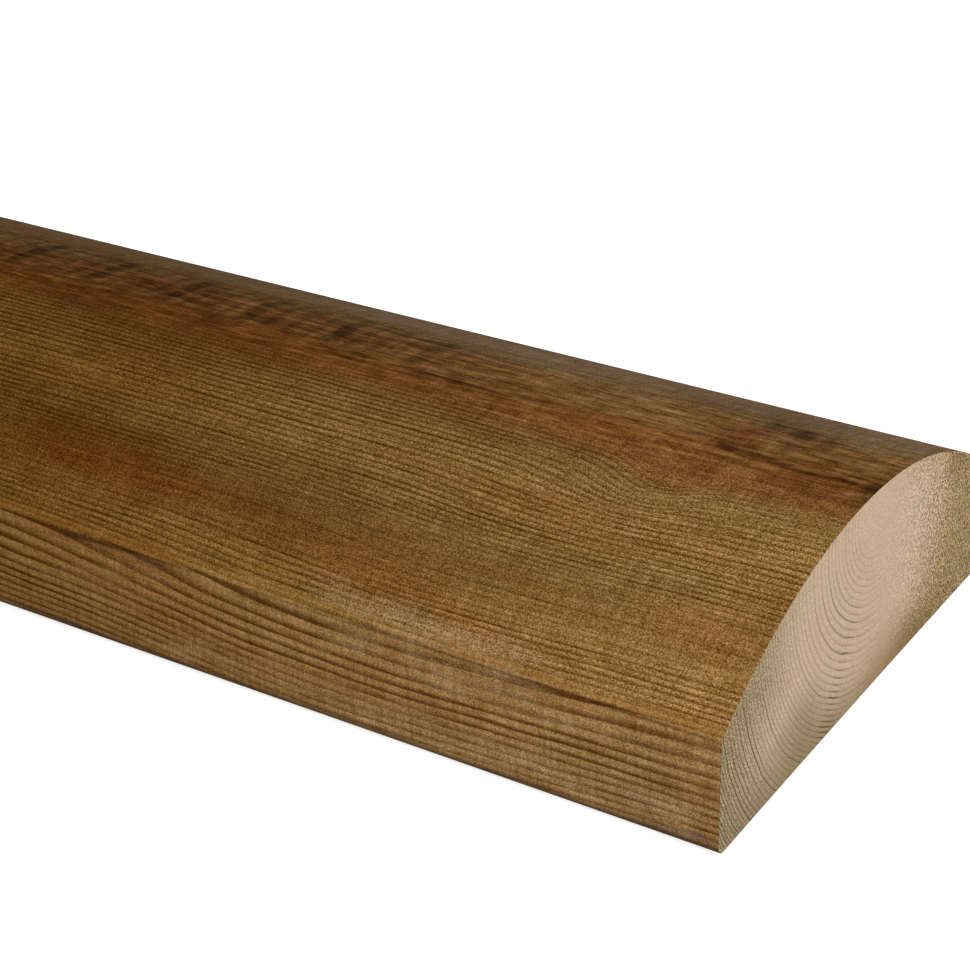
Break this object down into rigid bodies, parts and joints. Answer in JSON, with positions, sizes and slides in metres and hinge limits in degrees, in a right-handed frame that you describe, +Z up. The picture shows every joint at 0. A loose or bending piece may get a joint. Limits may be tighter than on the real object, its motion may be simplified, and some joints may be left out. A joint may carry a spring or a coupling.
{
  "type": "stair handrail length",
  "caption": "Straight length of brown impregnated softwood handrail with a flat foot, short upright sides and one rounded crown, sawn square at both ends.",
  "frame": {"origin": "centre of the flat foot, on the surface that the rail lies on", "axes": "+X along the rail's length, +Y across its width, +Z up from the foot to the crown"},
  "size_m": [2.4, 0.12, 0.045],
  "materials": {
    "impregnated_wood": "matte"
  },
  "bodies": {
    "root": {"handrail": "impregnated_wood"}
  },
  "joints": []
}
